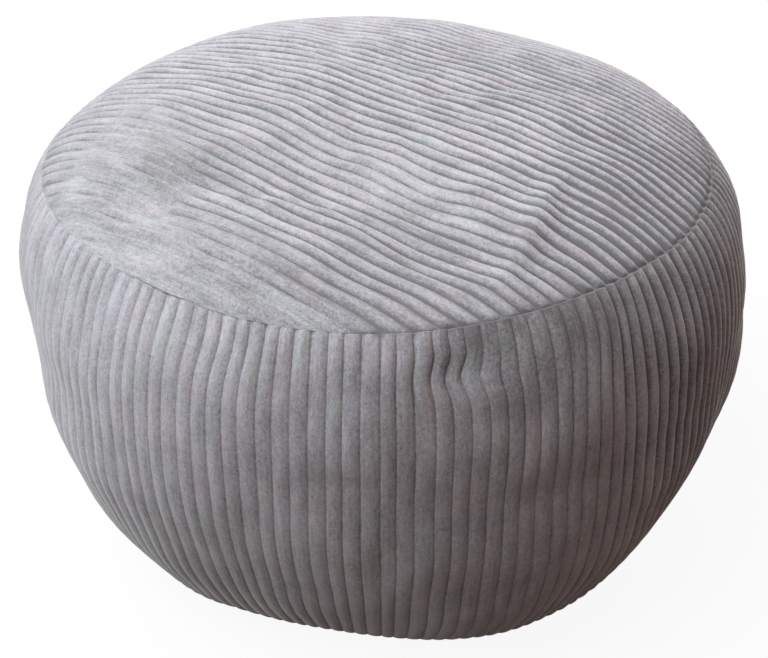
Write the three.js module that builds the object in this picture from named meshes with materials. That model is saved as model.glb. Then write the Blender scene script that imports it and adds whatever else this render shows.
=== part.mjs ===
// Round floor pouf in wide-wale corduroy: a round crowned top panel, a band round the side and a
// round base panel, joined by plain turned-in seams and filled until the side bulges.
// Millimetres, +Z up. The pouf stands on z = 0 with the middle of its box over the origin.
// "Turn" is the angle round the pouf: 0 at the front (-Y), a quarter turn at the right (+X).
import * as THREE from "three";
import { mergeVertices } from "three/addons/utils/BufferGeometryUtils.js";

// Driving dimensions.
const SEAM_RADIUS = 240; // mean radius of the top seam
const SEAM_HEIGHT = 289; // floor to the top seam
const CROWN_RISE = 38; // top seam to the middle of the top
const BELLY_RADIUS = 268; // widest place of the side
const BELLY_HEIGHT = 166; // floor to the widest place
const FOOT_RADIUS = 210; // where the side would reach the floor without its rounded corner
const FOOT_ROUND = 20; // radius of the corner that rolls under to the base seam
const CLOTH = 3; // thickness of the top and base panels
const GAP = 0.3; // clearance between panels
const SEAM_INSET = 1; // a flat panel's cut edge lies this far inside its seam

// How round the side is: 2 is a parabola, and higher powers turn in later and harder.
const TUCK_POWER = 2.05; // belly down to the foot
const SHOULDER_POWER = 3.6; // belly up to the top seam

// Crown height falls off from the middle as a mix of a broad dome and a late rounded edge.
const DOME_SHARE = 0.5;
const DOME_POWER = 2;
const EDGE_POWER = 6;

// Mesh steps.
const TURN_STEPS = 80;
const CROWN_STEPS = 12;
const SIDE_STEPS = 16;

// A stuffed pouf is never quite round. Each row adds a wave with that many lobes round the pouf, in
// millimetres: how far the top seam and the foot stand out, and how high the top seam rises, at the
// front (cosine) and at the side (sine).
const LOBES = [
  { lobes: 1, seamFront: -8, seamSide: -5.5, footFront: 2.5, footSide: 13, riseFront: 2.5, riseSide: -0.5 },
  { lobes: 2, seamFront: 1, seamSide: 0.5, footFront: -2, footSide: 1.5, riseFront: 1.5, riseSide: 0 },
  { lobes: 3, seamFront: -0.5, seamSide: 0, footFront: 2.5, footSide: -12, riseFront: 0, riseSide: -1 },
  { lobes: 4, seamFront: 2.5, seamSide: 0, footFront: -5.5, footSide: 13, riseFront: -1.5, riseSide: 2 },
];

// Soft troughs (depth below 0) and ridges in the slack top, each a long bell shape: the middle of it,
// the way it runs (degrees from +X), half its length, half its width, and its height.
const TOP_FOLDS = [
  { name: "dent", x: -58, y: -87, heading: -41, length: 160, width: 110, height: -14.5 },
  { name: "dentFoot", x: 20, y: -187, heading: -75, length: 54, width: 56, height: -8 },
  { name: "leftSwell", x: -115, y: -140, heading: -26, length: 158, width: 42, height: 7.5 },
  { name: "leftPinch", x: -148, y: -115, heading: 14, length: 54, width: 28, height: -7 },
  { name: "leftShoulder", x: -200, y: -9, heading: 0, length: 160, width: 110, height: 15.5 },
  { name: "middleSwell", x: -64, y: 10, heading: -32, length: 50, width: 109, height: 4 },
  { name: "backHollow", x: 128, y: 117, heading: -20, length: 39, width: 110, height: -2 },
  { name: "rightSwell", x: 90, y: -37, heading: 2, length: 160, width: 60, height: 3.5 },
  { name: "rightNotch", x: 202, y: -137, heading: 18, length: 22, width: 40, height: -12 },
  { name: "rightRim", x: 92, y: -148, heading: -112, length: 62, width: 14, height: 4 },
];

// Dents in the side: turn of the middle (degrees), height of the middle, half its reach round the
// pouf, half its reach up the side, and how far it stands out (below 0 is a dent).
const SIDE_FOLDS = [
  { name: "frontCrease", turn: 15, z: 236, along: 46, up: 14, out: -2 },
  { name: "seamPinch", turn: 10, z: 268, along: 24, up: 10, out: -2.5 },
  { name: "leftSlack", turn: -44, z: 248, along: 70, up: 26, out: -3 },
];

// The foot's lobes come in from the even back to the front, between these cosines of the turn.
const FOOT_EVEN = -0.7;
const FOOT_UNEVEN = 0.3;

const UNDER_TOP = SEAM_HEIGHT - CLOTH - GAP; // the filled band's seam edge, under the top panel
const OVER_BASE = CLOTH + GAP; // the filled band's underside, over the base panel
const PANEL_EDGE = 1 - SEAM_INSET / SEAM_RADIUS; // the top panel's edge, as a share of the seam radius

/** Sum of the lobes for two named columns, at an angle round the pouf. */
function waves(turn, frontColumn, sideColumn) {
  return LOBES.reduce(
    (sum, row) =>
      sum + row[frontColumn] * Math.cos(row.lobes * turn) + row[sideColumn] * Math.sin(row.lobes * turn),
    0,
  );
}

/** Radius of the even side at a height: two power curves from the belly, and a round foot corner. */
function sideRadius(z) {
  const above = z > BELLY_HEIGHT;
  const end = above ? SEAM_HEIGHT : 0;
  const endRadius = above ? SEAM_RADIUS : FOOT_RADIUS;
  const power = above ? SHOULDER_POWER : TUCK_POWER;
  const share = Math.abs((z - BELLY_HEIGHT) / (end - BELLY_HEIGHT));
  const corner = Math.max(0, 1 - z / FOOT_ROUND);
  return BELLY_RADIUS - (BELLY_RADIUS - endRadius) * share ** power - FOOT_ROUND * (1 - Math.sqrt(1 - corner ** 2));
}

/** Height of the even crown above the seam, at a share of the seam's radius. */
function crownHeight(share) {
  return CROWN_RISE * (1 - DOME_SHARE * share ** DOME_POWER - (1 - DOME_SHARE) * share ** EDGE_POWER);
}

/** Share of the seam's radius at each crown ring, closer together near the seam. */
function crownShares(last) {
  return Array.from({ length: CROWN_STEPS + 1 }, (_, i) => last * Math.sin((i / CROWN_STEPS) * (Math.PI / 2)));
}

/** Height of the folds at a place on the top, fading out towards the seam. */
function topFolds(x, y, share) {
  const fade = 1 - share ** EDGE_POWER;
  return TOP_FOLDS.reduce((sum, fold) => {
    const heading = THREE.MathUtils.degToRad(fold.heading);
    const dx = x - fold.x;
    const dy = y - fold.y;
    const along = (dx * Math.cos(heading) + dy * Math.sin(heading)) / fold.length;
    const across = (dy * Math.cos(heading) - dx * Math.sin(heading)) / fold.width;
    return sum + fade * fold.height * Math.exp(-along * along - across * across);
  }, 0);
}

/** How far the side's folds stand out at an angle and height. */
function sideFolds(turn, z) {
  return SIDE_FOLDS.reduce((sum, fold) => {
    const away = turn - THREE.MathUtils.degToRad(fold.turn);
    const along = (Math.atan2(Math.sin(away), Math.cos(away)) * BELLY_RADIUS) / fold.along;
    const up = (z - fold.z) / fold.up;
    return sum + fold.out * Math.exp(-along * along - up * up);
  }, 0);
}

/** Turns a profile of [radius, height] points, from the base to the top, into an even round solid. */
function turned(profile) {
  const points = profile.map(([radius, height]) => new THREE.Vector2(radius, height));
  const geometry = new THREE.LatheGeometry(points, TURN_STEPS);
  geometry.rotateX(Math.PI / 2);
  geometry.deleteAttribute("normal");
  geometry.deleteAttribute("uv");
  return mergeVertices(geometry);
}

/**
 * The same for a profile from the top to the base, which a lathe leaves inside out: each triangle is
 * turned over. The crown then has the same diagonals as the underside of the panel that lies on it.
 */
function turnedFromTop(profile) {
  const geometry = turned(profile);
  const index = geometry.getIndex();
  for (let i = 0; i < index.count; i += 3) {
    const first = index.getX(i);
    index.setX(i, index.getX(i + 1));
    index.setX(i + 1, first);
  }
  return geometry;
}

/**
 * Moves each vertex of an even solid out and up by the lobes and folds. Between the base and the seam
 * the foot's lobes turn smoothly into the seam's; from the seam inwards the crown's folds apply.
 */
function stuffed(geometry) {
  const position = geometry.getAttribute("position");
  for (let i = 0; i < position.count; i += 1) {
    const x = position.getX(i);
    const y = position.getY(i);
    const z = position.getZ(i);
    const radius = Math.hypot(x, y);
    const turn = Math.atan2(x, -y);
    const climb = THREE.MathUtils.clamp((z - OVER_BASE) / (UNDER_TOP - OVER_BASE), 0, 1);
    const seam = waves(turn, "seamFront", "seamSide") / SEAM_RADIUS;
    const frontness = THREE.MathUtils.smoothstep(Math.cos(turn), FOOT_EVEN, FOOT_UNEVEN);
    const foot = (frontness * waves(turn, "footFront", "footSide")) / FOOT_RADIUS;
    const onCrown = climb === 1;
    const scaled = radius * (1 + climb * seam + (1 - climb) * foot);
    const out = scaled + (onCrown || climb === 0 ? 0 : sideFolds(turn, z));
    const newX = out * Math.sin(turn);
    const newY = -out * Math.cos(turn);
    const share = radius / SEAM_RADIUS;
    const rise = waves(turn, "riseFront", "riseSide");
    const crownLift = rise * share ** 2 + topFolds(newX, newY, Math.min(1, share));
    const lift = onCrown ? crownLift : rise * climb ** 2;
    position.setXYZ(i, newX, newY, z + lift);
  }
  geometry.computeVertexNormals();
  return geometry;
}

/** The filled band: foot, bulging side, top seam and the crown that the top panel lies on. */
function filledBand() {
  const crown = crownShares(PANEL_EDGE).map((share) => [share * SEAM_RADIUS, crownHeight(share) + UNDER_TOP]);
  const side = Array.from({ length: SIDE_STEPS + 1 }, (_, i) => {
    const z = OVER_BASE + ((UNDER_TOP - OVER_BASE) * (1 + Math.cos((i / SIDE_STEPS) * Math.PI))) / 2;
    return [sideRadius(z), z];
  });
  return stuffed(turnedFromTop([...crown, ...side, [0, OVER_BASE]]));
}

/** The round top panel, a sheet that follows the crown. */
function topPanel() {
  const shares = crownShares(PANEL_EDGE);
  const sheet = (height) => shares.map((share) => [share * SEAM_RADIUS, crownHeight(share) + height]);
  return stuffed(turned([...sheet(SEAM_HEIGHT - CLOTH), ...sheet(SEAM_HEIGHT).reverse()]));
}

/** The round base panel, flat on the floor. */
function basePanel() {
  const edge = sideRadius(0) - SEAM_INSET;
  return stuffed(turned([[0, 0], [edge, 0], [edge, CLOTH], [0, CLOTH]]));
}

/** One named piece of corduroy. */
function piece(name, geometry, color) {
  const cloth = new THREE.MeshStandardMaterial({ color, roughness: 0.9, metalness: 0 });
  const mesh = new THREE.Mesh(geometry, cloth);
  mesh.name = name;
  return mesh;
}

const pouf = new THREE.Group();
pouf.add(piece("side_band", filledBand(), "#8a8786"));
pouf.add(piece("top_panel", topPanel(), "#aeabae"));
pouf.add(piece("base_panel", basePanel(), "#8a8786"));

// The middle of the whole box goes over the origin.
const middle = new THREE.Box3().setFromObject(pouf).getCenter(new THREE.Vector3());
pouf.position.set(-middle.x, -middle.y, 0);

export default pouf;
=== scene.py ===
"""A round floor pouf in wide-wale corduroy: stuffed side band, crowned top panel, base panel.

Lengths are metres and angles radians, with +Z up. "Turn" is the angle round the pouf: 0 at the
front (-Y), a quarter turn at the right (+X). "Wale" is one rib of the corduroy, "furrow" the groove
between two wales.
"""

import bpy
import numpy as np
from bpy.props import FloatProperty, FloatVectorProperty, IntProperty, PointerProperty
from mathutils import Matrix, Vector


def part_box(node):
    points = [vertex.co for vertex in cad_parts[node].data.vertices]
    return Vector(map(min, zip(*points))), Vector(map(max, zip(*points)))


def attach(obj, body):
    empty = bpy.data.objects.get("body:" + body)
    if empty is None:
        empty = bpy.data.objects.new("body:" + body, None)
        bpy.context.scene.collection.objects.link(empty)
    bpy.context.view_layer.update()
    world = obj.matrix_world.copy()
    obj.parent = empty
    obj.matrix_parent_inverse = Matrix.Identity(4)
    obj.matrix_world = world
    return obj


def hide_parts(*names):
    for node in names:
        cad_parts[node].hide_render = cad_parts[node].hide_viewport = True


bl_info = {
    "name": "Round corduroy floor pouf",
    "version": (1, 0, 0),
    "blender": (4, 5, 0),
    "location": "3D View > Sidebar > Pouf",
    "description": "Makes a stuffed round floor pouf in wide-wale corduroy on a pale floor",
    "category": "Object",
}

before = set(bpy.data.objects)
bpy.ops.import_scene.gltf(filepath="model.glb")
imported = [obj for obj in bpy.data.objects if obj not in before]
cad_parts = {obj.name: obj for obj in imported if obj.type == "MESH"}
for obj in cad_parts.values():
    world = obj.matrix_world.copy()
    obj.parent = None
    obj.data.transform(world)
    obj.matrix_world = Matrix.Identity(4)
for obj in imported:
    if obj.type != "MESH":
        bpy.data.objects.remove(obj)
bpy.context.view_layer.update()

MM = 0.001

# A stuffed pouf is never quite round. Each row adds a wave with that many lobes, in millimetres at
# the front (cosine) and the side (sine).
LOBES = np.array([
    # lobes, seam out: front, side, foot out: front, side, seam up: front, side
    (1, -8.0, -5.5, 2.5, 13.0, 2.5, -0.5),
    (2, 1.0, 0.5, -2.0, 1.5, 1.5, 0.0),
    (3, -0.5, 0.0, 2.5, -12.0, 0.0, -1.0),
    (4, 2.5, 0.0, -5.5, 13.0, -1.5, 2.0),
])
SEAM_OUT, FOOT_OUT, SEAM_UP = 1, 3, 5

# The foot's lobes come in from the even back to the front, between these cosines of the turn.
FOOT_EVEN, FOOT_UNEVEN = -0.7, 0.3

# Soft troughs (height below 0) and swells in the slack top, each a long bell: millimetres of the
# middle across and away, degrees of its run from +X, half its length and width, and its height.
TOP_FOLDS = {
    "dent": (-58, -87, -41, 160, 110, -14.5),
    "dent foot": (20, -187, -75, 54, 56, -8),
    "left swell": (-115, -140, -26, 158, 42, 7.5),
    "left pinch": (-148, -115, 14, 54, 28, -7),
    "left shoulder": (-200, -9, 0, 160, 110, 15.5),
    "middle swell": (-64, 10, -32, 50, 109, 4),
    "back ripple": (-46, 54, -25, 20, 11, 1.5),
    "back hollow": (128, 117, -20, 39, 110, -2),
    "right swell": (90, -37, 2, 160, 60, 3.5),
    "right notch": (202, -137, 18, 22, 40, -12),
    "dent floor": (-28, -95, -41, 50, 35, -2.5),
    "left hollow": (-146, -145, 60, 45, 26, -4),
    "left edge": (-205, 30, 80, 60, 40, -3),
    "right back swell": (140, 25, 0, 70, 40, 2),
}

# Creases in the top: a crest line of points, in millimetres, then how far its left and right flanks
# reach, seen along the line, and its height.
TOP_CREASES = {
    "right rim": (
        ((118, -84), (106, -108), (98, -139), (86, -166), (72, -192), (65, -211)), 9, 10, 4
    ),
    "left rim": (
        ((-130, -105), (-80, -120), (-35, -131), (-15, -152), (8, -182), (45, -202)), 6, 11, 2.2
    ),
    "pinch": (((-145, -98), (-137, -111), (-131, -122), (-128, -132)), 4, 4, 1.4),
    "pinched furrow": (((-160, -119), (-149, -131), (-140, -133), (-127, -129)), 3, 4, -1.6),
    "short wrinkle": (((-187, -132), (-170, -138), (-157, -144)), 3, 4, -2.5),
}

# Dents and swells in the side: degrees of turn, millimetres of height, half its reach round the
# pouf and up, and how far it stands out.
SIDE_FOLDS = {
    "front crease": (15, 236, 46, 14, -2),
    "seam pinch": (10, 268, 24, 10, -2.5),
    "seam bulge": (0, 272, 26, 12, 1),
    "left slack": (-44, 248, 70, 26, -3),
}

# Where use has brushed the pile of the top flat, and how flat, in the columns of TOP_FOLDS.
BRUSHED = {
    "left edge": (-172, -66, -60, 85, 60, 1.15),
    "front left edge": (-115, -182, -33, 110, 38, 0.95),
    "left shoulder": (-196, 50, -80, 60, 34, 0.4),
}

# How full the wales of the side are: degrees of turn, and the share of the furrow depth. Fuller
# furrows are also painted darker, so this also sets painted shade, most on the right, away from the
# lamp.
WALE_FULLNESS = (
    (-180, 1.2), (-115, 1.0), (-88, 0.45), (-50, 0.5), (-25, 0.6), (-5, 0.6),
    (14, 0.6), (26, 1.0), (36, 1.9), (50, 2.5), (90, 2.2), (180, 1.0),
)

# How wide and soft the furrows of the side are: degrees of turn, and 0 for pillows, 1 for waves.
WALE_SOFTNESS = (
    (-180, 0.6), (-60, 0.6), (-12, 0.4), (0, 0.2), (30, 0.2), (42, 0.5), (55, 0.9), (120, 0.9),
    (180, 0.6),
)

# How much fuller than 1 the wales of the top are, and how much softer than usual their furrows, in
# the columns of TOP_FOLDS. Fuller furrows of the top are also painted darker, which adds painted
# shade.
TOP_FULLNESS = {
    "right edge": (205, -25, 90, 140, 80, 0.75),
    "back right": (70, 90, 0, 70, 40, 0.5),
    "front right": (142, -120, 60, 60, 36, 0.8),
    "floor of the dent": (0, -98, -41, 100, 38, -0.35),
}
TOP_SOFTNESS = {
    "right edge": (190, -20, 90, 150, 130, 0.5),
    "front": (40, -150, -20, 90, 60, -0.12),
}

# Where the wales of the side lean: degrees of turn, millimetres of height, the reach in degrees and
# in millimetres, and the degrees that they move to the right.
LEANS = {
    "above the jog": (9, 276, 6, 6, 0.3),
    "jog": (11.5, 263, 5.5, 8, -1.0),
    "below the jog": (15, 234, 6, 18, 0.2),
    "right slack": (30, 275, 7, 26, 1.3),
    "left slack": (-26, 278, 9, 20, 1.0),
}

# Painted shade on the pile, and below 0 painted light: places darkened or lightened for how the
# light falls on them, such as the shadow under the top's rim. The columns are those of TOP_FOLDS
# and LEANS.
TOP_PAINTED_SHADING = {
    "left pinch": (-138, -80, -30, 50, 30, 0.25),
    "front": (-5, -195, 0, 90, 55, 0.16),
    "dent": (-15, -130, -41, 40, 22, 0.13),
    "foot of the dent": (38, -160, -41, 45, 30, 0.13),
    "right": (112, -52, 0, 75, 45, -0.22),
}
SIDE_PAINTED_SHADING = {
    "under the rim": (25, 280, 18, 28, 0.42),
    "beside the jog": (14, 284, 6, 12, 0.28),
    "front high": (2, 262, 8, 14, 0.12),
    "front": (6, 190, 13, 55, 0.10),
    "front middle": (7, 143, 6, 24, 0.18),
    "front low": (15, 75, 8, 50, 0.17),
    "left of the front": (-6, 85, 6, 55, -0.16),
    "low left": (-32, 72, 20, 46, 0.44),
    "upper left": (-32, 255, 17, 34, -0.15),
    "low right": (38, 95, 10, 30, -0.14),
}

# Where the wales of the side are fuller or flatter than WALE_FULLNESS, in the columns of LEANS.
# This also deepens or lightens the painted shade in their furrows.
SIDE_FULLNESS = {
    "wale tips": (-30, 292, 40, 22, 1.1),
    "beside the jog": (15.8, 278, 2.2, 11, -1.0),
    "jog": (8, 268, 6, 14, 0.6),
    "low right": (42, 110, 14, 75, -0.35),
}

# The outline.
SHOULDER_POWER = 3.6  # how late the side turns in, belly up to the top seam
TUCK_POWER = 2.05  # the same, belly down to the foot
DOME_POWER, EDGE_POWER = 2, 6  # the crown mixes a broad dome and a late edge
CREASE_END = 0.85  # how much lower a crease is at its ends
NORMAL_STEP = 1e-4

# Smooth random waves: a seed, their length in metres, and their height.
UNEVEN = {
    "slack": (71, 0.10, 0.25),
    "side sway": (21, 0.11, 0.0004),
    "top sway": (41, 0.10, 0.0010),
    "side plump": (22, 0.05, 0.08),
    "top plump": (42, 0.05, 0.08),
    "brushed": (43, 0.045, 0.15),
    "pucker": (5, 0.016, 1.0),
}
UNEVEN_TERMS = 16

# The skin of the cloth simulation, and how much of its unevenness is used.
SKIN_TURNS, SKIN_TOP_ROWS, SKIN_SIDE_ROWS, SKIN_ROW = 144, 20, 34, 0.011
HELD_SEAM, HELD_FOOT, HELD_ELSE = 0.7, 3, 0.02  # rows held at the seam and foot, and the rest
SLACK = 0.5
SETTLE_FRAMES, SETTLE_GAIN, SETTLE_MOST, SETTLE_END = 20, 0.6, 0.004, 12

# The wales: a seed for each piece and how much they differ in width, then how many a panel needs.
WALES = {"side": (11, 0.07), "top": (31, 0.07), "base": (51, 0.05)}
TOP_WALES, BASE_WALES = 52, 42
FIRST_SIDE_FURROW, FIRST_TOP_FURROW, BEFORE_TOP = -12.7, -0.2115, 4  # degrees, metres, wales
RIB_STEPS = np.array([0, 0.038, 0.146, 0.309, 0.5, 0.691, 0.854, 0.962])  # columns across a wale
SIDE_SECTION, TOP_SECTION = 2.5, 2.4  # how square a wale's section is: 2 is round
TOP_SOFT, BASE_SOFT = 0.32, 0.5  # how soft the furrows of the panels are
BASE_FURROW = 0.0009
SWAY_END = 0.03  # how far from the seam the top's wales start to sway
BRUSHED_MEAN, BRUSHED_FLAT = 0.85, 0.8
BESIDE_REACH, BESIDE_MOST, BESIDE_POWER = 0.016, 1.5, 12  # brushed where wales lie along the seam

# The seams.
TIP_LEFT = 0.2  # height of a wale that a seam presses flat
TOP_PRESS, SIDE_PRESS = 0.7, 0.6  # how hard a seam presses the wales
CREASE_PRESS, CREASE_TURN, CREASE_REACH = 0.3, 12, 22  # how much less at the front, in degrees
SEAM_FACING = 0.008  # how near the top seam the cloth turns to face the seam's way
SEAM_SHARE, FOOT_SHARE, PUCKER_SHARE = 0.5, 0.6, 0.7  # shares of the seam pull
SEAM_SINK, SEAM_SINK_POWER = 0.8, 60
# Painted shade at the top seam, kept to the right half, away from the key lamp: how high a pucker
# starts a pit, how far pits reach, the line's darkness and reach, and how far it comes onto the
# left.
PIT_START, PIT_REACH, LINE_SHADE, LINE_REACH, PITS_LEFT = 0.5, 0.0025, 0.6, 0.0012, 0.4

# Hidden faces, and the shares of the radius where their rings lie.
CLOTH_BACK, CROWN_GAP, FOOT_LIFT, BASE_THICK, BASE_INSET = 0.0009, 0.0015, 0.0033, 0.003, 0.0012
FOOT_RINGS, BASE_RINGS = (0.985, 0.5), (0.999, 0.5)
CROWN_RINGS = (0.985, 0.94, 0.85, 0.7, 0.5, 0.25)
PANEL_RINGS = (0.985, 0.96, 0.92, 0.86, 0.78, 0.68, 0.56, 0.42, 0.26)
END_INSET, END_GAP = 0.00003, 0.0003  # a panel's last columns, and how clear of them others stay

# The noises of the pile: stretch across and along the wales, shift, scale, detail, roughness.
NOISES = {
    "fleck": ((1000, 600), (0, 0), 0.42, 3.0, 0.6),
    "fibre": ((1000, 700), (7, 3), 0.9, 2.0, 0.6),
    "streak": ((1000, 60), (3, 9), 0.5, 2.0, 0.5),
    "patch": ((60, 28), (1, 5), 1.0, 3.0, 0.6),
    "tint": ((55, 30), (4, 2), 1.0, 2.0, 0.5),
}
NOISE_LIGHT = {"fleck": 1.0, "fibre": 1.1, "streak": 0.6, "patch": 1.1}
NOISE_BUMP = {"fleck": 0.5, "fibre": 0.35, "streak": 0.15}
PILE_LEVEL, BRUSHED_DULL = 0.68, 0.27
# How the furrow darkening falls off up the wale, and how much brushing takes it away; beyond 1,
# brushed furrows get painted highlights.
FURROW_POWER, FURROW_BRUSHED = 1.4, 1.15
# Furrow darkening, partly the darker ground of the corduroy and partly painted shade, strongest on
# the top, where the light falls across the wales.
SIDE_SHADE, TOP_SHADE, BASE_SHADE = 0.9, 1.35, 0.45  # how much darker the furrows are
WARM_FROM, COOL_FROM, TINT_SLOPE = 0.54, 0.46, 5
TINT_SHARE, BRUSHED_TINT, TINT_DEEP = 0.7, 0.2, 0.45

# The stage.
FLOOR_WHITE = 0.92  # how little of its shadow the floor shows
LAMP_DISTANCE, LAMP_AIM = 2.4, 0.2
LOOK_ASIDE = -0.0007


def quantity(name, description, default, **kind):
    """A property of a group. Kind is its unit, if it has one."""
    return FloatProperty(name=name, description=description, default=default, **kind)


def metres(name, description, default):
    return quantity(name, description, default, precision=4, unit="LENGTH")


def rgb(name, description, default):
    return FloatVectorProperty(
        name=name, description=description, default=default, subtype="COLOR"
    )


class PoufShape(bpy.types.PropertyGroup):
    """Sizes of the stuffed pouf."""

    seam_radius: metres("Seam radius", "Mean radius of the top seam", 0.240)
    seam_height: metres("Seam height", "Floor to the top seam", 0.289)
    crown_rise: metres("Crown rise", "Top seam to the middle of the top", 0.038)
    belly_radius: metres("Belly radius", "Widest place of the side", 0.268)
    belly_height: metres("Belly height", "Floor to the widest place", 0.166)
    foot_radius: metres(
        "Foot radius", "Where the side would reach the floor without its round corner", 0.210
    )
    foot_round: metres("Foot corner", "Radius of the corner at the floor", 0.020)


class PoufCorduroy(bpy.types.PropertyGroup):
    """How the corduroy is woven and sewn, and its colours."""

    wales_round: IntProperty(name="Wales round", description="Wales in the side band", default=150)
    wale_width: metres("Wale width", "Furrow to furrow", 0.010053)
    furrow_depth: metres("Furrow depth", "Crest to furrow on the side", 0.0015)
    top_furrow_depth: metres("Top furrow depth", "Crest to furrow on the top", 0.0034)
    top_heading: quantity(
        "Top heading",
        "The way the wales of the top run, as an angle round the pouf",
        np.radians(55),
        subtype="ANGLE",
    )
    seam_pull: metres("Seam pull", "How deep the seam is drawn in", 0.0008)
    seam_reach: metres("Seam reach", "How soon the cloth swells out again", 0.003)
    wale_end: metres("Wale end", "Length over which a wale sinks into a seam", 0.0035)
    # Bright pile is the crests' colour. The deep colour is the darker flecks and furrow ground, and
    # also where the painted shade is deepest.
    bright_pile: rgb("Bright pile", "Pile lying towards the light", (0.56, 0.55, 0.61))
    deep_pile_and_shade: rgb("Deep pile", "Pile seen end on", (0.20, 0.19, 0.205))
    warm_tint: rgb("Warm tint", "Faint warm patches", (0.60, 0.53, 0.565))
    cool_tint: rgb("Cool tint", "Faint green-grey patches", (0.53, 0.57, 0.56))


class PoufStage(bpy.types.PropertyGroup):
    """Floor, lamps and camera."""

    floor_size: metres("Floor size", "Side of the square floor", 14.0)
    key_power: quantity("Key power", "Watts of the lamp on the left", 100.0)
    back_power: quantity("Back power", "Watts of the lamp behind", 43.0)
    lamp_size: metres("Lamp size", "Side of each lamp", 2.8)
    ambient: quantity("Ambient", "Strength of the room's own light", 0.205)
    lens: quantity("Lens", "Focal length on a 36 mm sensor", 61.17)
    camera_distance: metres("Camera distance", "Level distance to the pouf's middle", 0.8473)
    camera_height: metres("Camera height", "Floor to the camera", 0.7229)
    look_height: metres("Look height", "Height that the camera looks at", 0.1302)


# ---- the smooth outline


def waves(turn, column):
    """Sum of the lobes in a column: front times cosine plus side times sine of lobes times turn."""
    angle = LOBES[:, 0] * np.asarray(turn)[..., None]
    return MM * (np.cos(angle) @ LOBES[:, column] + np.sin(angle) @ LOBES[:, column + 1])


def foot_out(turn):
    """How far the foot stands out: its lobes times a smooth step of the cosine of the turn."""
    share = np.clip((np.cos(turn) - FOOT_EVEN) / (FOOT_UNEVEN - FOOT_EVEN), 0, 1)
    return waves(turn, FOOT_OUT) * share**2 * (3 - 2 * share)


def place(turn, radius, height):
    """Points at an angle round the pouf, a distance from its axis and a height."""
    turn, radius, height = np.broadcast_arrays(turn, radius, height)
    return np.stack([radius * np.sin(turn), -radius * np.cos(turn), height], -1)


def bell(distance, reach):
    """1 at no distance, and less further off: exp(-(distance over reach) squared)."""
    return np.exp(-((distance / reach) ** 2))


def seam_distance(shape, turn):
    """From the axis to the top seam."""
    return shape.seam_radius + waves(turn, SEAM_OUT)


def wrapped(grid):
    """A grid that goes round the pouf, with its first column again at the end."""
    return np.append(grid, grid[:, :1], 1)


def side_radius(shape, height):
    """Belly radius less a power curve to the seam or the foot, less a round corner at the floor."""
    above = height > shape.belly_height
    span = np.where(above, shape.seam_height - shape.belly_height, shape.belly_height)
    drop = shape.belly_radius - np.where(above, shape.seam_radius, shape.foot_radius)
    share = np.abs(height - shape.belly_height) / span
    corner = np.clip(1 - height / shape.foot_round, 0, 1)
    curve = share ** np.where(above, SHOULDER_POWER, TUCK_POWER)
    return shape.belly_radius - drop * curve - shape.foot_round * (1 - np.sqrt(1 - corner**2))


def side_bells(table, turn, height, step=np.radians(1)):
    """Sum of a table's bells on the side: amount times exp(-round squared - up squared). The reach
    round the pouf is counted in steps of that angle."""
    total = 0
    for degrees, middle, reach, up, amount in table.values():
        away = np.angle(np.exp(1j * (turn - np.radians(degrees)))) / (reach * step)
        total = total + amount * np.exp(-(away**2) - ((height / MM - middle) / up) ** 2)
    return total


def side_outline(shape, turn, height, uneven=True):
    """The side: its radius swelled by the foot's lobes below and the seam's above, plus its folds
    and what the filling pushes out."""
    climb = height / shape.seam_height
    swell = climb * waves(turn, SEAM_OUT) / shape.seam_radius
    swell = swell + (1 - climb) * foot_out(turn) / shape.foot_radius
    radius = side_radius(shape, height) * (1 + swell)
    if uneven:
        folds = side_bells(SIDE_FOLDS, turn, height, MM / shape.belly_radius) * MM
        radius = radius + folds + settled_side(shape, turn, height)
    return place(turn, radius, height + waves(turn, SEAM_UP) * climb**2)


def bells(table, x, y):
    """Sum of a table's long bells: height times exp(-along squared - across squared)."""
    total = 0
    for across, away, heading, length, width, height in table.values():
        cos, sin = np.cos(np.radians(heading)), np.sin(np.radians(heading))
        dx, dy = x - across * MM, y - away * MM
        along, aside = (dx * cos + dy * sin) / (length * MM), (dy * cos - dx * sin) / (width * MM)
        total = total + height * np.exp(-(along**2) - aside**2)
    return total


def top_folds(x, y):
    """The top's bells and creases."""
    total = bells(TOP_FOLDS, x, y) * MM
    for line, left, right, height in TOP_CREASES.values():
        total = total + crease(x, y, np.array(line) * MM, left * MM, right * MM, height * MM)
    return total


def crease(x, y, line, left, right, height):
    """A ridge along a line of points. Its height falls off as exp(-distance squared), with its own
    reach on each side, and along the line as one minus the fourth power of the way to an end."""
    start, step = line[:-1], np.diff(line, axis=0)
    length = np.hypot(*step.T)
    before = np.concatenate([[0], np.cumsum(length)[:-1]])
    from_start = np.stack([x, y], -1)[..., None, :] - start
    along = np.clip((from_start * step).sum(-1) / length**2, 0, 1)
    off = from_start - along[..., None] * step
    distance = np.hypot(off[..., 0], off[..., 1])
    nearest = distance.argmin(-1)[..., None]
    side = step[:, 0] * from_start[..., 1] - step[:, 1] * from_start[..., 0]
    pick = lambda values: np.take_along_axis(values, nearest, -1)[..., 0]
    reach = np.where(pick(side) > 0, left, right)
    way = pick(before + along * length) / length.sum() * 2 - 1
    return height * (1 - CREASE_END * way**4) * bell(pick(distance), reach)


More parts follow.
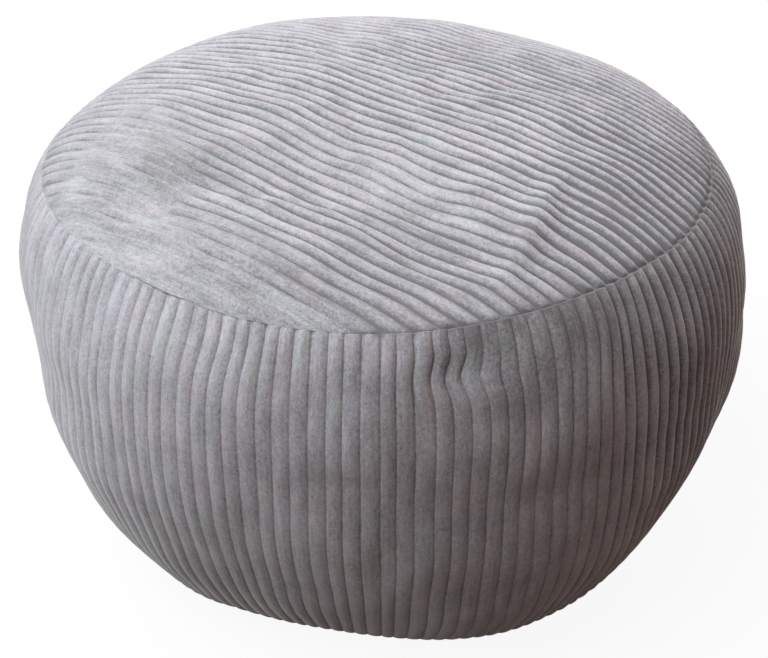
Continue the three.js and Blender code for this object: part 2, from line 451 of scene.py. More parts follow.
def top_outline(shape, x, y, uneven=True):
    """The top: seam height, plus the crown, the seam's rises times share squared, and the folds,
    which fade out towards the seam. Share is the distance from the axis over the seam's."""
    turn = np.arctan2(x, -y)
    share = np.hypot(x, y) / seam_distance(shape, turn)
    crown = shape.crown_rise * (1 - (share**DOME_POWER + share**EDGE_POWER) / 2)
    height = shape.seam_height + crown + waves(turn, SEAM_UP) * share**2
    if uneven:
        fade = np.clip(1 - share**EDGE_POWER, 0, 1)
        height = height + fade * (top_folds(x, y) + settled_top(shape, turn, share))
    return np.stack(np.broadcast_arrays(x, y, height), -1)


# ---- how the filled cloth settles

SETTLED = {}  # the simulated skin's uneven part, for each set of sizes


def way_down(shape, samples):
    """Heights from the seam to the floor, and the way down the side to each."""
    height = np.linspace(shape.seam_height, 0, samples)
    steps = np.hypot(np.diff(height), np.diff(side_radius(shape, height)))
    return height, np.append(0, np.cumsum(steps))


def skin_heights(shape):
    """Heights of the skin's side rows, evenly spaced down the side from the seam."""
    height, down = way_down(shape, samples=2000)
    return np.interp(np.linspace(0, down[-1], SKIN_SIDE_ROWS), down, height)


def settle(shape):
    """How far the filled cloth stands out at each row and turn of a coarse skin, less the mean of
    the row. The skin is blown up a little, with more cloth in some places than others."""
    names = ("seam_radius", "seam_height", "crown_rise", "belly_radius")
    sizes = tuple(round(getattr(shape, name), 6) for name in names)
    if sizes not in SETTLED:
        SETTLED[sizes] = np.zeros((SKIN_TOP_ROWS + SKIN_SIDE_ROWS, SKIN_TURNS))
        out = simulate_skin(shape)
        out = out - out.mean(1, keepdims=True)
        SETTLED[sizes] = SETTLE_MOST * np.tanh(out * SETTLE_GAIN / SETTLE_MOST)
    return SETTLED[sizes]


def simulate_skin(shape):
    """Runs the cloth simulation on the even skin, and gives how far each point moved outwards."""
    turn = np.linspace(0, 2 * np.pi, SKIN_TURNS, endpoint=False)
    share = (np.arange(SKIN_TOP_ROWS) + 0.5)[:, None] / (SKIN_TOP_ROWS + 0.5)
    flat = place(turn, seam_distance(shape, turn) * share, 0)
    top = top_outline(shape, flat[..., 0], flat[..., 1], False)
    height = np.broadcast_to(skin_heights(shape)[:, None], (SKIN_SIDE_ROWS, SKIN_TURNS))
    side = side_outline(shape, turn, height, False)
    start = np.concatenate([top, side])
    count = start[..., 0].size
    numbers = np.arange(count).reshape(start.shape[:2])
    ring = wrapped(numbers)
    quads = np.stack([ring[:-1, :-1], ring[1:, :-1], ring[1:, 1:], ring[:-1, 1:]], 2).reshape(-1, 4)
    ends = [list(numbers[0]), list(numbers[-1][::-1])]
    mesh = bpy.data.meshes.new("skin")
    mesh.from_pydata(start.reshape(-1, 3), [], quads.tolist() + ends)
    skin = bpy.data.objects.new("skin", mesh)
    bpy.context.scene.collection.objects.link(skin)

    rows = np.arange(len(start))
    held = bell(rows - SKIN_TOP_ROWS, HELD_SEAM) + (rows >= len(start) - HELD_FOOT) + HELD_ELSE
    around = 2 * np.pi * shape.belly_radius
    slack = unevenness("slack", turn * shape.belly_radius, rows[:, None] * SKIN_ROW, around)
    for name, weights in (("held", held[:, None]), ("slack", SLACK + slack)):
        group = skin.vertex_groups.new(name=name)
        weights = np.broadcast_to(np.clip(weights, 0, 1), numbers.shape).ravel()
        for number, weight in enumerate(weights.tolist()):
            group.add([number], weight, "REPLACE")
    modifier = skin.modifiers.new("cloth", "CLOTH")
    cloth = modifier.settings
    cloth.quality, cloth.mass, cloth.air_damping = 5, 0.3, 2
    cloth.tension_stiffness, cloth.compression_stiffness, cloth.shear_stiffness = 15, 15, 5
    cloth.bending_stiffness = 0.5
    cloth.use_pressure, cloth.uniform_pressure_force = True, 60
    cloth.vertex_group_mass, cloth.vertex_group_shrink = "held", "slack"
    cloth.shrink_min, cloth.shrink_max = -0.04, 0.04
    cloth.effector_weights.gravity = 0
    modifier.collision_settings.use_collision = False
    modifier.point_cache.frame_start, modifier.point_cache.frame_end = 1, SETTLE_FRAMES
    scene = bpy.context.scene
    for number in range(1, SETTLE_FRAMES + 1):
        scene.frame_set(number)
    blown = skin.evaluated_get(bpy.context.evaluated_depsgraph_get()).to_mesh()
    end = np.empty(count * 3, np.float32)
    blown.vertices.foreach_get("co", end)
    scene.frame_set(1)
    bpy.data.objects.remove(skin)
    slope_round = np.roll(start, -1, 1) - np.roll(start, 1, 1)
    outwards = unit(np.cross(np.gradient(start, axis=0), slope_round))
    return ((end.reshape(start.shape) - start) * outwards).sum(-1)


def spline_weights(way):
    """The four weights of a uniform cubic spline, at a share of the way between two points."""
    inner = lambda share: (4 - 6 * share**2 + 3 * share**3) / 6
    return [(1 - way) ** 3 / 6, inner(way), inner(1 - way), way**3 / 6]


def settled(shape, turn, row):
    """The settled skin between its rows and turns: a cubic spline each way."""
    grid = settle(shape)
    turn, row = np.broadcast_arrays(turn, row)
    column = (turn / (2 * np.pi)) % 1 * SKIN_TURNS
    first_row, first_column = np.floor(row).astype(int), np.floor(column).astype(int)
    total = 0
    for i, weight_i in enumerate(spline_weights(row - first_row)):
        for j, weight_j in enumerate(spline_weights(column - first_column)):
            at = np.clip(first_row + i - 1, 0, len(grid) - 1), (first_column + j - 1) % SKIN_TURNS
            total = total + weight_i * weight_j * grid[at]
    return total


def settled_top(shape, turn, share):
    """The same on the top, fading out in the inner quarter."""
    return settled(shape, turn, share * (SKIN_TOP_ROWS + 0.5) - 0.5) * np.clip(share * 4, 0, 1)


def settled_side(shape, turn, height):
    """The same on the side, fading out at the seam."""
    row = np.interp(-height, -skin_heights(shape), SKIN_TOP_ROWS + np.arange(SKIN_SIDE_ROWS))
    climb = np.clip(height / shape.seam_height, 0, 1)
    return settled(shape, turn, row) * (1 - climb**SETTLE_END)


def unit(vectors):
    return vectors / np.linalg.norm(vectors, axis=-1, keepdims=True)


def normals(outline, shape, a, b):
    """Unit normal of the side's or the top's outline, from the cross product of its two slopes."""
    slope_a = outline(shape, a + NORMAL_STEP, b) - outline(shape, a - NORMAL_STEP, b)
    slope_b = outline(shape, a, b + NORMAL_STEP) - outline(shape, a, b - NORMAL_STEP)
    return unit(np.cross(slope_a, slope_b))


def seam_normal(shape, turn):
    """The way that the top seam faces: halfway between the side and the top, 1 mm from the seam."""
    below = np.full_like(turn, shape.seam_height - MM)
    side = normals(side_outline, shape, turn, below)
    edge = place(turn, seam_distance(shape, turn) - MM, 0)
    top = normals(top_outline, shape, edge[..., 0], edge[..., 1])
    return unit(side + top)


def facing_out(outline, shape, a, b, turn, from_seam):
    """The way that the cloth faces: its normal, turned near the top seam to the seam's way."""
    facing = normals(outline, shape, a, b)
    near_seam = bell(from_seam, SEAM_FACING)[..., None]
    return unit(facing + near_seam * (seam_normal(shape, turn) - facing))


# ---- cloth on the outline


def unevenness(name, across, along, around=None):
    """The smooth random waves of that name: a sum of sines of across and along. around is the
    distance after which across comes back to its start."""
    seed, length, height = UNEVEN[name]
    rng = np.random.default_rng(seed)
    heading, size = rng.uniform(0, 2 * np.pi, UNEVEN_TERMS), rng.uniform(0.6, 1.7, UNEVEN_TERMS)
    phase = rng.uniform(0, 2 * np.pi, UNEVEN_TERMS)
    rate_across = 2 * np.pi / (length * size) * np.cos(heading)
    rate_along = 2 * np.pi / (length * size) * np.sin(heading)
    if around:
        rate_across = np.round(rate_across * around / (2 * np.pi)) * 2 * np.pi / around
    total = 0
    for k, m, p in zip(rate_across, rate_along, phase):
        total = total + np.sin(k * across + m * along + p)
    return height * total * np.sqrt(2 / UNEVEN_TERMS)


def wale_columns(name, count):
    """Places, in wales, of the columns of a ribbed grid, and each column's share of its wale."""
    seed, loose = WALES[name]
    edges = np.arange(count + 1) + loose * np.random.default_rng(seed).uniform(-1, 1, count + 1)
    edges[-1] = edges[0] + count
    places = edges[:-1, None] + RIB_STEPS * np.diff(edges)[:, None]
    return places.ravel(), np.tile(RIB_STEPS, count)


def wale_section(cloth, phase, from_seam, power, soft, press):
    """0 in a furrow and 1 on a crest: the root of one less a power of the distance from the crest,
    mixed with a soft sine squared. A seam presses the crest, as exp(-distance over wale end)."""
    pillow = np.sqrt(1 - np.abs(2 * phase - 1) ** power)
    across = (1 - soft) * pillow + soft * np.sin(np.pi * phase) ** 2
    held = press * np.exp(-from_seam / cloth.wale_end)
    return across * (1 - held) + TIP_LEFT * held


def draw_in(cloth, from_seam, pucker):
    """How deep a seam pulls the cloth: seam pull times exp(-distance over reach), and more at a
    pucker."""
    near = np.exp(-from_seam / cloth.seam_reach)
    return cloth.seam_pull * near * (1 + PUCKER_SHARE * pucker)


def seam_pucker(shape, turn):
    """Puckers along the top seam, one or two to a wale."""
    return unevenness("pucker", turn * shape.seam_radius, 0, 2 * np.pi * shape.seam_radius)


def seam_painted_shade(shape, turn, from_seam):
    """Painted shade at the seam: a thin line, and pits at the highest puckers, on the right half,
    away from the lamp.
    """
    right = np.clip(np.sin(turn) + PITS_LEFT, 0, 1)
    pits = np.clip(seam_pucker(shape, turn) - PIT_START, 0, 1) * bell(from_seam, PIT_REACH)
    return right * (pits + LINE_SHADE * bell(from_seam, LINE_REACH))


class Skin:
    """Collects the vertices and faces of one closed piece, its cloth coordinates in metres across
    and along the wales, and the layers that its material reads."""

    def __init__(self):
        self.points, self.faces, self.cloth = [], [], []
        # The rib layer also carries painted shade in the furrows and at the seam; the last layer is
        # painted shade, and below 0 painted light.
        self.layers = {"rib": [], "brushed": [], "painted_shading": []}
        self.count = 0

    def add(self, points, rib=1.0, brushed=0.0, painted_shading=0.0):
        """Adds points; gives back their numbers, in the shape of the array."""
        shape = points.shape[:-1]
        self.points.append(points.reshape(-1, 3))
        for layer, values in zip(self.layers.values(), (rib, brushed, painted_shading)):
            layer.append(np.broadcast_to(values, shape).ravel())
        numbers = self.count + np.arange(np.prod(shape, dtype=int)).reshape(shape)
        self.count += numbers.size
        return numbers

    def grid(self, numbers, cloth):
        """Faces between the rows and columns of an array of vertex numbers."""
        corners = lambda a: np.stack([a[:-1, :-1], a[1:, :-1], a[1:, 1:], a[:-1, 1:]], 2)
        self.faces += corners(numbers).reshape(-1, 4).tolist()
        self.cloth.append(corners(cloth).reshape(-1, 2))

    def fan(self, ring, middle, cloth, cloth_middle):
        """Triangles from a closed ring of vertex numbers to one vertex."""
        faces = np.stack([ring[:-1], np.full(len(ring) - 1, middle), ring[1:]], 1)
        self.faces += faces.tolist()
        middles = np.broadcast_to(cloth_middle, (len(ring) - 1, 2))
        self.cloth.append(np.stack([cloth[:-1], middles, cloth[1:]], 1).reshape(-1, 2))

    def piece(self, name, shift):
        """Makes the mesh object, moved to the CAD's place."""
        mesh = bpy.data.meshes.new(name)
        mesh.from_pydata(np.concatenate(self.points) + shift, [], self.faces)
        mesh.uv_layers.new(name="cloth").data.foreach_set("uv", np.concatenate(self.cloth).ravel())
        for label, values in self.layers.items():
            layer = mesh.attributes.new(label, "FLOAT", "POINT")
            layer.data.foreach_set("value", np.concatenate(values).astype(np.float32))
        mesh.shade_smooth()
        mesh.update()
        piece = bpy.data.objects.new(name, mesh)
        bpy.context.scene.collection.objects.link(piece)
        return piece


def cad_shift(shape):
    """From the pouf's axis to the CAD's frame: the middle of the CAD band less the outline's."""
    height = np.linspace(0, shape.seam_height, 120)[:, None]
    outline = side_outline(shape, np.linspace(0, 2 * np.pi, 721), height).reshape(-1, 3)
    low, high = (np.array(corner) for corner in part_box("side_band"))
    shift = (low + high) / 2 - (outline.min(0) + outline.max(0)) / 2
    return np.array([shift[0], shift[1], 0])


# ---- the three pieces


EDGE_TURN = np.linspace(0, 2 * np.pi, 7200, endpoint=False)  # round the edge of a panel


def side_rows(shape):
    """Distances down the side from the seam, the height at each, and the whole way down. Rows are
    close at the seam, then a little further apart, and widest on the belly."""
    height, down = way_down(shape, samples=4000)
    seam_rows = np.array([0, 0.7, 1.5, 2.5, 3.8, 5.4, 7.4, 9.9]) * MM
    upper_rows = np.arange(13, 76, 3.2) * MM
    belly_rows = np.linspace(upper_rows[-1], down[-1], 45)[1:]
    rows = np.concatenate([seam_rows, upper_rows, belly_rows])
    return rows, np.interp(rows, down, height), down[-1]


def make_side_band(shape, cloth):
    """The band: upright wales on the outline, sunk by the furrows and drawn in at both seams, and
    closed by a plain crown and a plain foot."""
    wales, phase = wale_columns("side", cloth.wales_round)
    rows, height, whole = side_rows(shape)
    wale, down = np.meshgrid(wales, rows)
    height = np.broadcast_to(height[:, None], wale.shape)
    even = np.radians(FIRST_SIDE_FURROW) + wale * 2 * np.pi / cloth.wales_round
    across, around = even * shape.belly_radius, 2 * np.pi * shape.belly_radius
    sway = unevenness("side sway", across, down, around) / shape.belly_radius
    turn = even + np.radians(side_bells(LEANS, even, height)) + sway
    above_floor = np.clip(height, 2 * NORMAL_STEP, None)
    facing = facing_out(side_outline, shape, turn, above_floor, turn, down)
    degrees = np.degrees(turn)
    by_turn = lambda table: np.interp(degrees, *np.array(table).T, period=360)
    press = SIDE_PRESS - CREASE_PRESS * bell(degrees - CREASE_TURN, CREASE_REACH)
    from_seam, soft = np.minimum(down, whole - down), by_turn(WALE_SOFTNESS)
    rib = wale_section(cloth, phase, from_seam, SIDE_SECTION, soft, press)
    full = by_turn(WALE_FULLNESS) * (1 + side_bells(SIDE_FULLNESS, even, height))
    plump = 1 + unevenness("side plump", across, down, around)
    sink = cloth.furrow_depth * plump * full * (1 - rib)
    sink = sink + draw_in(cloth, down, seam_pucker(shape, turn)) * SEAM_SHARE
    sink = sink + draw_in(cloth, whole - down, 0) * FOOT_SHARE
    skin = Skin()
    points = side_outline(shape, turn, height) - facing * sink[..., None]
    # Painted shade: the rib shown to the material is lower in fuller furrows, beyond their darker
    # ground, and along the seam; the last layer adds the side's painted shade and light.
    shown = 1 - (1 - rib) * np.clip(full / 2, 0, 1) - seam_painted_shade(shape, turn, down)
    numbers = skin.add(points, shown, 0, side_bells(SIDE_PAINTED_SHADING, turn, height))
    across = wrapped(wale) * cloth.wale_width
    across[:, -1] += cloth.wales_round * cloth.wale_width
    skin.grid(wrapped(numbers), np.stack([across, wrapped(down)], -1))
    close_under_top(skin, shape, cloth, numbers[0], points[0], CROWN_RINGS, CROWN_GAP)
    close_flat(skin, numbers[-1], points[-1], FOOT_RINGS, FOOT_LIFT)
    return skin.piece("side_band_corduroy", cad_shift(shape))


def close_under_top(skin, shape, cloth, numbers, edge, shares, gap):
    """Closes a ring of vertex numbers with rings at shares of its radius. They lie under the top's
    outline by the cloth's depth and a gap, and more where the seam draws it in."""
    rings = []
    for share in (*shares, 0):
        sink = cloth.seam_pull * SEAM_SINK * share**SEAM_SINK_POWER
        depth = cloth.top_furrow_depth + CLOTH_BACK + gap + sink
        rings.append(top_outline(shape, *(edge * share).T[:2]) - [0, 0, depth])
    close_with_rings(skin, numbers, rings[:-1], rings[-1][0], True)


def close_flat(skin, numbers, edge, shares, height):
    """Closes a ring of vertex numbers with level rings at that height."""
    lift = np.array([0, 0, height])
    rings = [edge * [share, share, 0] + lift for share in shares]
    close_with_rings(skin, numbers, rings, lift, False)


def close_with_rings(skin, edge, rings, middle, upwards):
    """Closes a ring of vertex numbers with smaller rings of points and one point in the middle."""
    order = slice(None, None, 1 if upwards else -1)
    numbers = np.stack([edge] + [skin.add(ring, 0.5) for ring in rings])
    points = np.concatenate(skin.points)[numbers]
    numbers, points = numbers[:, order], points[:, order]
    numbers, cloth = wrapped(numbers), wrapped(points)[..., :2]
    skin.grid(numbers[::-1], cloth[::-1])
    centre = skin.add(middle.reshape(1, 3), 0.5)[0]
    skin.fan(numbers[-1][::-1], centre, cloth[-1][::-1], middle[:2])


def panel_grid(cloth, edge, name, count, first, rows):
    """Places on a flat round panel: columns run along the wales from edge to edge, and rows divide
    each column in the same shares. Gives x, y, distance across, distance along, phase."""
    wales, phase = wale_columns(name, count)
    along_way = np.array([np.sin(cloth.top_heading), -np.cos(cloth.top_heading)])
    across_way = np.array([-along_way[1], along_way[0]])
    across, along = edge @ across_way, edge @ along_way
    low, high = across.argmin(), across.argmax()
    from_low, from_high = (np.roll(np.arange(len(edge)), -start) for start in (low, high))
    far, near = from_low[: (high - low) % len(edge)], from_high[: (low - high) % len(edge)]
    columns = first + wales * cloth.wale_width
    turned = np.cumsum(np.diff(phase, prepend=phase[0]) < 0) + phase
    start, end = across[low] + END_INSET, across[high] - END_INSET
    inside = (columns > start + END_GAP) & (columns < end - END_GAP)
    shown = np.r_[start, columns[inside], end]
    phase = np.interp(shown, columns, turned) % 1
    end_a = np.interp(shown, across[far], along[far])
    end_b = np.interp(shown, across[near][::-1], along[near][::-1])
    along = np.minimum(end_a, end_b) + rows[:, None] * np.abs(end_b - end_a)
    across = np.broadcast_to(shown, along.shape)
    spot = across[..., None] * across_way + along[..., None] * along_way
    return spot[..., 0], spot[..., 1], across, along, np.broadcast_to(phase, along.shape)


def panel_rows(step, whole=480):
    """Shares of a column of that many millimetres: close at both ends, and a step apart between."""
    end = np.array([0, 0.7, 1.6, 2.8, 4.3, 6.2, 8.4]) / whole
    middle = np.linspace(end[-1], 1 - end[-1], int(whole / step))[1:-1]
    return np.concatenate([end, middle, 1 - end[::-1]])


def rim(array):
    """The outer edge of a grid, once round."""
    return np.concatenate([array[0, :-1], array[:-1, -1], array[-1, :0:-1], array[:0:-1, 0]])


def make_top_panel(shape, cloth):
    """The top: wales side by side across a disc laid on the crown, sunk by the furrows and drawn in
    at the seam, closed underneath by plain rings."""
    edge = place(EDGE_TURN, seam_distance(shape, EDGE_TURN), 0)[:, :2]
    first = FIRST_TOP_FURROW - BEFORE_TOP * cloth.wale_width
    rows = panel_rows(step=2.9)
    x, y, across, along, phase = panel_grid(cloth, edge, "top", TOP_WALES, first, rows)
    turn = np.arctan2(x, -y)
    slope = np.hypot(1, shape.crown_rise / shape.seam_radius * (1 + EDGE_POWER / 2))
    from_seam = np.clip(seam_distance(shape, turn) - np.hypot(x, y), 0, None) * slope
    sway = unevenness("top sway", x, y) * np.clip(from_seam / SWAY_END, 0, 1)
    x, y = x + sway * np.cos(cloth.top_heading), y + sway * np.sin(cloth.top_heading)
    facing = facing_out(top_outline, shape, x, y, turn, from_seam)
    soft = np.clip(TOP_SOFT + bells(TOP_SOFTNESS, x, y), 0, 1)
    rib = wale_section(cloth, phase, from_seam, TOP_SECTION, soft, TOP_PRESS)
    level = np.sin(turn - cloth.top_heading) ** BESIDE_POWER
    beside = bell(from_seam, BESIDE_REACH) * np.clip(BESIDE_MOST * level, 0, 1)
    brushed = bells(BRUSHED, x, y) * (BRUSHED_MEAN + unevenness("brushed", x, y))
    brushed = np.clip(brushed + beside, 0, 1)
    full = 1 + bells(TOP_FULLNESS, x, y)
    plump = (1 + unevenness("top plump", x, y)) * (1 - BRUSHED_FLAT * brushed) * full
    sink = cloth.top_furrow_depth * plump * (1 - rib)
    sink = sink + draw_in(cloth, from_seam, seam_pucker(shape, turn))
    points = top_outline(shape, x, y) - facing * sink[..., None]
    skin = Skin()
    # Painted shade: the rib shown to the material is lower in fuller furrows, beyond their darker
    # ground, and along the seam; the last layer adds the top's painted shade and light.
    shown = 1 - (1 - rib) * full - seam_painted_shade(shape, turn, from_seam)
    numbers = skin.add(points, shown, brushed, bells(TOP_PAINTED_SHADING, x, y))
    skin.grid(numbers, np.stack([across, along], -1))
    close_under_top(skin, shape, cloth, rim(numbers), rim(points), PANEL_RINGS, 0)
    return skin.piece("top_panel_corduroy", cad_shift(shape))


def make_base_panel(shape, cloth):
    """The base: a flat disc of the same cloth, its wales pressed flat by the weight on them."""
    swell = 1 + foot_out(EDGE_TURN) / shape.foot_radius
    edge = place(EDGE_TURN, side_radius(shape, 0.0) * swell - BASE_INSET, 0)[:, :2]
    first = -BASE_WALES / 2 * cloth.wale_width
    rows = panel_rows(step=9)
    x, y, across, along, phase = panel_grid(cloth, edge, "base", BASE_WALES, first, rows)
    rib = wale_section(cloth, phase, 0, SIDE_SECTION, BASE_SOFT, press=0)
    bottom = np.stack([x, y, BASE_FURROW * (1 - rib)], -1)
    skin = Skin()
    numbers = skin.add(bottom, rib)
    skin.grid(numbers[:, ::-1], np.stack([across, along], -1)[:, ::-1])
    close_flat(skin, rim(numbers), rim(bottom), BASE_RINGS, BASE_THICK)
    return skin.piece("base_panel_corduroy", cad_shift(shape))


# ---- materials


def math_node(operation, order=(0, 1)):
    """A method that adds a Math node. Order gives the sockets of the value and of the other."""
    return lambda self, other: self.shader.node(
        "ShaderNodeMath", {"operation": operation}, dict(zip(order, (self, other)))
    )


class Value:
    """A node's output. Arithmetic on values adds Math nodes."""

    def __init__(self, shader, socket):
        self.shader, self.socket = shader, socket

    __add__, __radd__ = math_node("ADD"), math_node("ADD", (1, 0))
    __sub__, __rsub__ = math_node("SUBTRACT"), math_node("SUBTRACT", (1, 0))
    __mul__, __rmul__ = math_node("MULTIPLY"), math_node("MULTIPLY", (1, 0))
    __pow__ = math_node("POWER")


class Shader:
    """A node tree, and the one way in which nodes are added to it."""

    def __init__(self, tree):
        self.tree = tree
        tree.nodes.clear()

    def node(self, kind, settings=None, inputs=None, output=0):
        """Adds a node: its settings first, then the values or links of its sockets."""
        made = self.tree.nodes.new(kind)
        for name, value in (settings or {}).items():
            setattr(made, name, value)
        for name, value in (inputs or {}).items():
            if isinstance(value, Value):
                self.tree.links.new(value.socket, made.inputs[name])
            else:
                made.inputs[name].default_value = value
        return Value(self, made.outputs[output]) if made.outputs else made

    def mix(self, factor, first, second):
        """Mixes two colours."""
        as_colour = lambda c: c if isinstance(c, Value) else (*c, 1)
        inputs = {0: factor, 6: as_colour(first), 7: as_colour(second)}
        return self.node("ShaderNodeMix", {"data_type": "RGBA"}, inputs, 2)

    def noise(self, vector, stretch, shift, scale, detail, roughness):
        """Smooth random value from about 0 to 1, at a vector stretched and shifted first."""
        inputs = {"Vector": vector, "Scale": (*stretch, 1), "Location": (*shift, 0)}
        vector = self.node("ShaderNodeMapping", {}, inputs)
        inputs = {"Vector": vector, "Scale": scale, "Detail": detail, "Roughness": roughness}
        return self.node("ShaderNodeTexNoise", {}, inputs)

    def clamp(self, value):
        return self.node("ShaderNodeClamp", {}, {0: value})


def corduroy_material(name, cloth, shade):
    """Corduroy in cloth coordinates: flecks of pile, streaks along the wales, darker furrows,
    partly their darker ground and partly painted shade, painted shade and painted light from the
    mesh's layers, faint warm and cool patches, and brushed places where the pile lies flat and
    dull."""
    material = bpy.data.materials.new(name)
    material.use_nodes = True
    shader = Shader(material.node_tree)
    flat = shader.node("ShaderNodeUVMap", {"uv_map": "cloth"})
    attribute = lambda name: shader.node("ShaderNodeAttribute", {"attribute_name": name}, output=2)
    # The last layer holds painted shade, and below 0 painted light.
    rib, brushed, painted_shading = attribute("rib"), attribute("brushed"), attribute("painted_shading")
    noises = {name: shader.noise(flat, *row) for name, row in NOISES.items()}
    # Brushing takes the furrow darkening away, and past 1 turns it into painted highlights along
    # the furrows.
    furrow = (1 - rib) ** FURROW_POWER * (1 - brushed * FURROW_BRUSHED)
    light = sum(((noises[name] - 0.5) * part for name, part in NOISE_LIGHT.items()), PILE_LEVEL)
    # Less light where brushed, painted shade and painted light from the last layer, and painted
    # shade in the furrows on top of their darker ground.
    light = shader.clamp(light - brushed * BRUSHED_DULL - painted_shading - furrow * shade)
    pile = shader.mix(light, cloth.deep_pile_and_shade, cloth.bright_pile)
    tint = noises["tint"]
    for share, bright in (
        (shader.clamp((tint - WARM_FROM) * TINT_SLOPE) * TINT_SHARE, cloth.warm_tint),
        (shader.clamp((COOL_FROM - tint) * TINT_SLOPE) * TINT_SHARE, cloth.cool_tint),
        (brushed * BRUSHED_TINT, cloth.cool_tint),
    ):
        deep = tuple(TINT_DEEP * part for part in bright)
        pile = shader.mix(share, pile, shader.mix(light, deep, bright))
    height = sum(noises[name] * part for name, part in NOISE_BUMP.items())
    bump = shader.node("ShaderNodeBump", {}, {"Height": height, "Strength": 0.6, "Distance": MM})
    surface = {
        "Base Color": pile,
        "Roughness": 0.94 - brushed * 0.2,
        "Normal": bump,
        "Sheen Weight": 0.6,
        "Sheen Roughness": 0.45,
        "Specular IOR Level": 0.2,
    }
    finish = shader.node("ShaderNodeBsdfPrincipled", {}, surface)
    shader.node("ShaderNodeOutputMaterial", {}, {"Surface": finish})
    return material


# ---- operators


class PoufOperator:
    """What the operators share."""

    bl_options = {"REGISTER", "UNDO"}

    def execute(self, context):
        scene = context.scene
        self.make(scene, scene.pouf_shape, scene.pouf_corduroy)
        return {"FINISHED"}


def dress(piece, node, cloth, shade):
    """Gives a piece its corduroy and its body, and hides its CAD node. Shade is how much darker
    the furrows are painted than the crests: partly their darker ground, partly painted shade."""
    piece.data.materials.append(corduroy_material(piece.name, cloth, shade))
    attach(piece, "root")
    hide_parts(node)


class OBJECT_OT_pouf_side_band(PoufOperator, bpy.types.Operator):
    """Make the stuffed side band"""

    bl_idname = "object.pouf_side_band"
    bl_label = "Side band"

    def make(self, scene, shape, cloth):
        piece = make_side_band(shape, cloth)
        dress(piece, "side_band", cloth, SIDE_SHADE)


class OBJECT_OT_pouf_top_panel(PoufOperator, bpy.types.Operator):
    """Make the crowned top panel"""

    bl_idname = "object.pouf_top_panel"
    bl_label = "Top panel"

    def make(self, scene, shape, cloth):
        piece = make_top_panel(shape, cloth)
        dress(piece, "top_panel", cloth, TOP_SHADE)


class OBJECT_OT_pouf_base_panel(PoufOperator, bpy.types.Operator):
    """Make the flat base panel"""

    bl_idname = "object.pouf_base_panel"
    bl_label = "Base panel"

    def make(self, scene, shape, cloth):
        piece = make_base_panel(shape, cloth)
        dress(piece, "base_panel", cloth, BASE_SHADE)


class OBJECT_OT_pouf_stage(PoufOperator, bpy.types.Operator):
    """Make the pale floor, the lamps and the camera"""

    bl_idname = "object.pouf_stage"
    bl_label = "Floor, lamps and camera"

    def make(self, scene, shape, cloth):
        stage, axis = scene.pouf_stage, cad_shift(shape)
        scene.view_settings.view_transform = "Standard"
        make_floor(scene, stage)
        make_lamps(scene, stage, axis)
        make_camera(scene, stage, axis)


def make_floor(scene, stage):
    """A square floor: white to the camera, apart from the shadow, and duller in what it bounces."""
    half = stage.floor_size / 2
    mesh = bpy.data.meshes.new("floor")
    corners = [(x * half, y * half, 0) for x, y in ((-1, -1), (1, -1), (1, 1), (-1, 1))]
    mesh.from_pydata(corners, [], [(0, 1, 2, 3)])
    floor = bpy.data.objects.new("floor", mesh)
    scene.collection.objects.link(floor)
    material = bpy.data.materials.new("pale floor")
    material.use_nodes = True
    shader = Shader(material.node_tree)
    seen = seen_directly(shader)
    matt, bounce = (
        shader.node("ShaderNodeBsdfDiffuse", {}, {"Color": colour})
        for colour in ((0.9, 0.9, 0.9, 1), (0.08, 0.06, 0.053, 1))
    )
    white = shader.node("ShaderNodeEmission", {}, {"Color": (1, 1, 1, 1), "Strength": 1.0})
    shown = shader.node("ShaderNodeMixShader", {}, {0: FLOOR_WHITE, 1: matt, 2: white})
    surface = shader.node("ShaderNodeMixShader", {}, {0: seen, 1: bounce, 2: shown})
    shader.node("ShaderNodeOutputMaterial", {}, {"Surface": surface})
    mesh.materials.append(material)


def seen_directly(shader):
    """1 for what the camera sees, also in a reflection or through glass, and 0 for other light."""
    path = lambda output: shader.node("ShaderNodeLightPath", output=output)
    return shader.clamp(path("Is Camera Ray") + path("Is Glossy Ray") + path("Is Transmission Ray"))


def make_lamps(scene, stage, axis):
    """A large soft lamp on the left, a dimmer one behind, and a dim warm room."""
    aim = axis + [0, 0, LAMP_AIM]
    for name, turn, rise, watts, colour in (
        ("key", -84, 52, stage.key_power, (0.90, 0.975, 1.0)),
        ("back", 150, 35, stage.back_power, (1.0, 0.95, 0.94)),
    ):
        lamp = bpy.data.lights.new(name, "AREA")
        lamp.energy, lamp.size, lamp.color = watts, stage.lamp_size, colour
        holder = bpy.data.objects.new(name, lamp)
        rise = np.radians(rise)
        way = place(np.radians(turn), np.cos(rise), np.sin(rise))
        place_towards(holder, aim + way * LAMP_DISTANCE, aim)
        scene.collection.objects.link(holder)
    world = bpy.data.worlds.new("room")
    world.use_nodes = True
    shader = Shader(world.node_tree)
    seen = seen_directly(shader)
    colour = shader.mix(seen, (1.0, 0.69, 0.59), (1, 1, 1))
    strength = stage.ambient + seen * (1 - stage.ambient)
    background = shader.node("ShaderNodeBackground", {}, {"Color": colour, "Strength": strength})
    shader.node("ShaderNodeOutputWorld", {}, {"Surface": background})
    scene.world = world


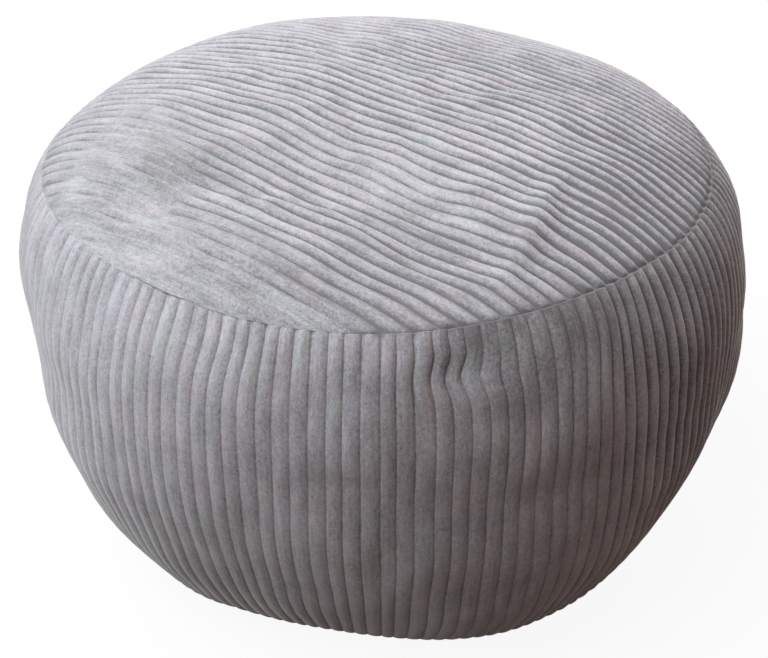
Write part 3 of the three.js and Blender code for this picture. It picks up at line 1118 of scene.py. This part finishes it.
def place_towards(item, location, aim):
    """Puts a lamp or camera at a place, looking at another."""
    item.location = location
    item.rotation_euler = (Vector(aim) - Vector(location)).to_track_quat("-Z", "Y").to_euler()


def make_camera(scene, stage, axis):
    """A camera in front of the pouf, looking down at it."""
    lens = bpy.data.cameras.new("camera")
    lens.lens, lens.sensor_width, lens.sensor_fit = stage.lens, 36, "HORIZONTAL"
    camera = bpy.data.objects.new("camera", lens)
    eye = axis + [0, -stage.camera_distance, stage.camera_height]
    place_towards(camera, eye, axis + [LOOK_ASIDE, 0, stage.look_height])
    scene.collection.objects.link(camera)
    scene.camera = camera


class VIEW3D_PT_pouf(bpy.types.Panel):
    """The pouf's sizes, colours and steps"""

    bl_label = "Corduroy pouf"
    bl_space_type = "VIEW_3D"
    bl_region_type = "UI"
    bl_category = "Pouf"

    def draw(self, context):
        layout = self.layout
        for group in (getattr(context.scene, name) for name in GROUPS):
            box = layout.box()
            for name in group.bl_rna.properties.keys():
                if name not in ("rna_type", "name"):
                    box.prop(group, name)
        for operator in OPERATORS:
            layout.operator(operator.bl_idname)


GROUPS = {"pouf_shape": PoufShape, "pouf_corduroy": PoufCorduroy, "pouf_stage": PoufStage}
OPERATORS = (
    OBJECT_OT_pouf_side_band,
    OBJECT_OT_pouf_top_panel,
    OBJECT_OT_pouf_base_panel,
    OBJECT_OT_pouf_stage,
)


def register():
    for name, group in GROUPS.items():
        bpy.utils.register_class(group)
        setattr(bpy.types.Scene, name, PointerProperty(type=group))
    for item in (*OPERATORS, VIEW3D_PT_pouf):
        bpy.utils.register_class(item)


def unregister():
    for item in (VIEW3D_PT_pouf, *reversed(OPERATORS)):
        bpy.utils.unregister_class(item)
    for name, group in GROUPS.items():
        delattr(bpy.types.Scene, name)
        bpy.utils.unregister_class(group)


def main():
    """Makes the pieces and the stage."""
    register()
    bpy.ops.object.pouf_side_band()
    bpy.ops.object.pouf_top_panel()
    bpy.ops.object.pouf_base_panel()
    bpy.ops.object.pouf_stage()


if __name__ == "__main__":
    main()
